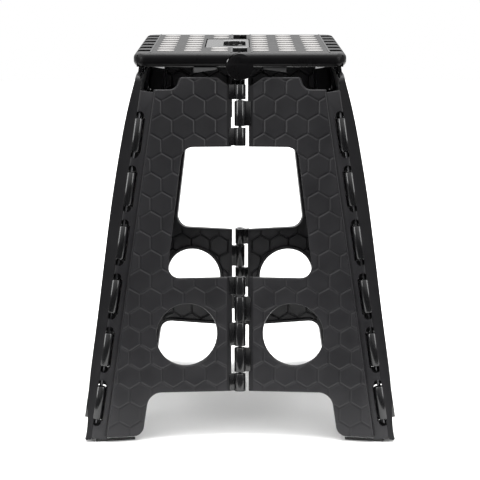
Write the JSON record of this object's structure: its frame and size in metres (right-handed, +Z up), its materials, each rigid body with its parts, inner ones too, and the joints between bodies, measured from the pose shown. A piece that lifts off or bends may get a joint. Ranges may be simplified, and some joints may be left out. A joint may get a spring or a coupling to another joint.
{
  "type": "folding step stool",
  "caption": "Low step stool whose top folds upwards along a centre hinge, on tapered front, rear and leg panels, with a carrying handle set into the deck",
  "frame": {"origin": "on the floor, under the middle of the platform", "axes": "+Z up, +X towards the right leg panel, +Y towards the rear panels"},
  "size_m": [0.3224, 0.3896, 0.4006],
  "materials": {
    "shell_plastic": "satin black moulded polypropylene, finely grained",
    "handle_plastic": "smooth black plastic",
    "grip_rubber": "soft light grey rubber",
    "stop_rubber": "soft grey rubber",
    "foot_rubber": "matt black rubber",
    "pin_steel": "plain drawn steel wire"
  },
  "bodies": {
    "leg_left": {"leg_panel_left": "shell_plastic", "leg_pin_left": "pin_steel", "leg_pad_left_front": "foot_rubber", "leg_pad_left_rear": "foot_rubber", "corner_pin_left_front": "pin_steel", "corner_pin_left_rear": "pin_steel"},
    "leg_right": {"leg_panel_right": "shell_plastic", "leg_pin_right": "pin_steel", "leg_pad_right_front": "foot_rubber", "leg_pad_right_rear": "foot_rubber", "corner_pin_right_front": "pin_steel", "corner_pin_right_rear": "pin_steel"},
    "platform_left": {"platform_left": "shell_plastic", "grip_insert_left": "grip_rubber", "handle_pin_front": "pin_steel", "handle_pin_rear": "pin_steel", "platform_pin_front": "pin_steel", "platform_pin_rear": "pin_steel", "panel_stop_left_front": "stop_rubber", "panel_stop_left_rear": "stop_rubber"},
    "platform_right": {"platform_right": "shell_plastic", "grip_insert_right": "grip_rubber", "panel_stop_right_front": "stop_rubber", "panel_stop_right_rear": "stop_rubber"},
    "carry_handle": {"carry_handle": "handle_plastic"},
    "front_left": {"front_panel_left": "shell_plastic", "front_centre_pin_upper": "pin_steel", "front_centre_pin_lower": "pin_steel", "panel_pad_left_front": "foot_rubber"},
    "front_right": {"front_panel_right": "shell_plastic", "panel_pad_right_front": "foot_rubber"},
    "rear_right": {"rear_panel_right": "shell_plastic", "rear_centre_pin_upper": "pin_steel", "rear_centre_pin_lower": "pin_steel", "panel_pad_right_rear": "foot_rubber"},
    "rear_left": {"rear_panel_left": "shell_plastic", "panel_pad_left_rear": "foot_rubber"}
  },
  "joints": [
    {"name": "platform_fold", "type": "hinge", "parent": "leg_left", "child": "platform_left", "pos_m": [-0.101, 0, 0.39], "axis": [0, -1, 0], "range_deg": [0, 78.2]},
    {"name": "platform_centre", "type": "hinge", "parent": "platform_left", "child": "platform_right", "pos_m": [0, 0, 0.3855], "axis": [0, 1, 0], "range_deg": [0, 171.76]},
    {"name": "right_leg_hinge", "type": "hinge", "parent": "platform_right", "child": "leg_right", "pos_m": [0.101, 0, 0.39], "axis": [0, -1, 0], "range_deg": [0, 78.2]},
    {"name": "front_left_corner", "type": "hinge", "parent": "leg_left", "child": "front_left", "pos_m": [-0.12829, -0.1705, 0.168], "axis": [0.1431, 0.0999, 0.9847], "range_deg": [0, 78.32]},
    {"name": "rear_left_corner", "type": "hinge", "parent": "leg_left", "child": "rear_left", "pos_m": [-0.12829, 0.1705, 0.168], "axis": [-0.1431, 0.0999, -0.9847], "range_deg": [0, 78.32]},
    {"name": "front_right_corner", "type": "hinge", "parent": "leg_right", "child": "front_right", "pos_m": [0.12829, -0.1705, 0.168], "axis": [0.1431, -0.0999, -0.9847], "range_deg": [0, 78.32]},
    {"name": "rear_right_corner", "type": "hinge", "parent": "leg_right", "child": "rear_right", "pos_m": [0.12829, 0.1705, 0.168], "axis": [-0.1431, -0.0999, 0.9847], "range_deg": [0, 78.32]},
    {"name": "handle_flip", "type": "hinge", "parent": "platform_left", "child": "carry_handle", "pos_m": [-0.0335, 0, 0.3975], "axis": [0, -1, 0], "range_deg": [0, 100]}
  ],
  "couplings": [
    {"joint": "platform_centre", "follows": "platform_fold", "ratio": 2.1964},
    {"joint": "right_leg_hinge", "follows": "platform_fold", "ratio": 1},
    {"joint": "front_left_corner", "follows": "platform_fold", "ratio": 1.0015},
    {"joint": "rear_left_corner", "follows": "platform_fold", "ratio": 1.0015},
    {"joint": "front_right_corner", "follows": "platform_fold", "ratio": 1.0015},
    {"joint": "rear_right_corner", "follows": "platform_fold", "ratio": 1.0015}
  ]
}
